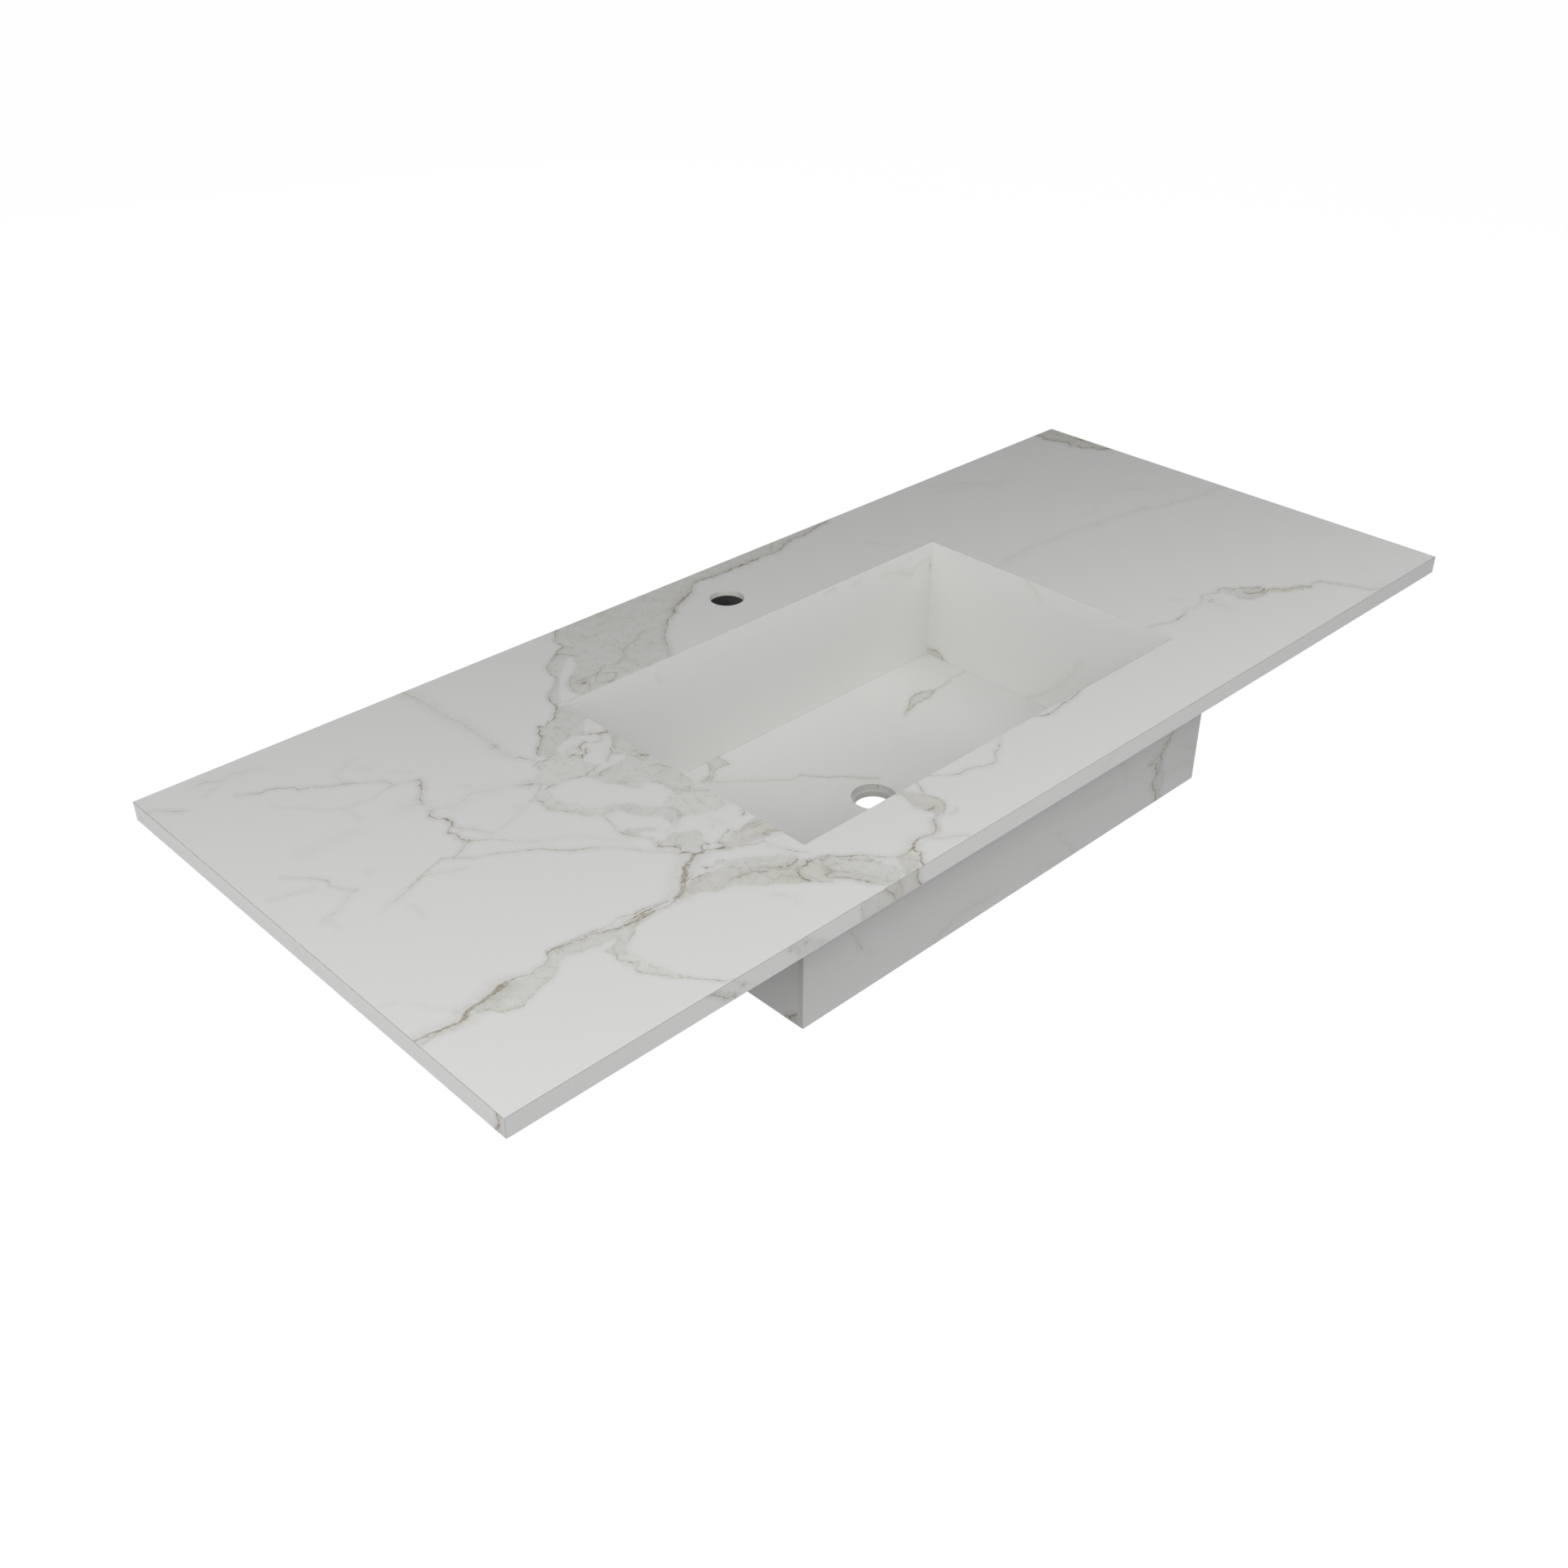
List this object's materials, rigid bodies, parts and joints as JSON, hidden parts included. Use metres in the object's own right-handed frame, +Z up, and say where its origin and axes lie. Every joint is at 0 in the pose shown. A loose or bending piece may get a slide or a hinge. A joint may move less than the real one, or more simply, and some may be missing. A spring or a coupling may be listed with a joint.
{
  "type": "washbasin top",
  "caption": "Wide washbasin top of veined white porcelain slab, with a boxed rectangular bowl, a floor pitched to its drain hole and one tap hole.",
  "frame": {"origin": "under the middle of the deck, level with the casing's lower edge", "axes": "+X along the deck's length, +Y to the wall behind it, +Z up"},
  "size_m": [1.21, 0.515, 0.1585],
  "materials": {
    "porcelain": "satin",
    "core_board": "matte",
    "adhesive": "matte"
  },
  "bodies": {
    "root": {"deck_slab": "porcelain", "edge_strip_front": "porcelain", "edge_strip_left": "porcelain", "edge_strip_right": "porcelain", "edge_strip_back": "porcelain", "bowl_wall_front": "porcelain", "bowl_wall_left": "porcelain", "bowl_wall_right": "porcelain", "bowl_wall_back": "porcelain", "floor_facet_front": "porcelain", "floor_facet_left": "porcelain", "floor_facet_right": "porcelain", "floor_facet_back": "porcelain", "bottom_slab": "porcelain", "casing_front": "porcelain", "casing_left": "porcelain", "casing_right": "porcelain", "casing_back": "porcelain", "deck_core_front": "core_board", "deck_core_left": "core_board", "deck_core_right": "core_board", "deck_core_back": "core_board", "wall_core_front": "core_board", "wall_core_left": "core_board", "wall_core_right": "core_board", "wall_core_back": "core_board", "floor_bed": "adhesive"}
  },
  "joints": []
}
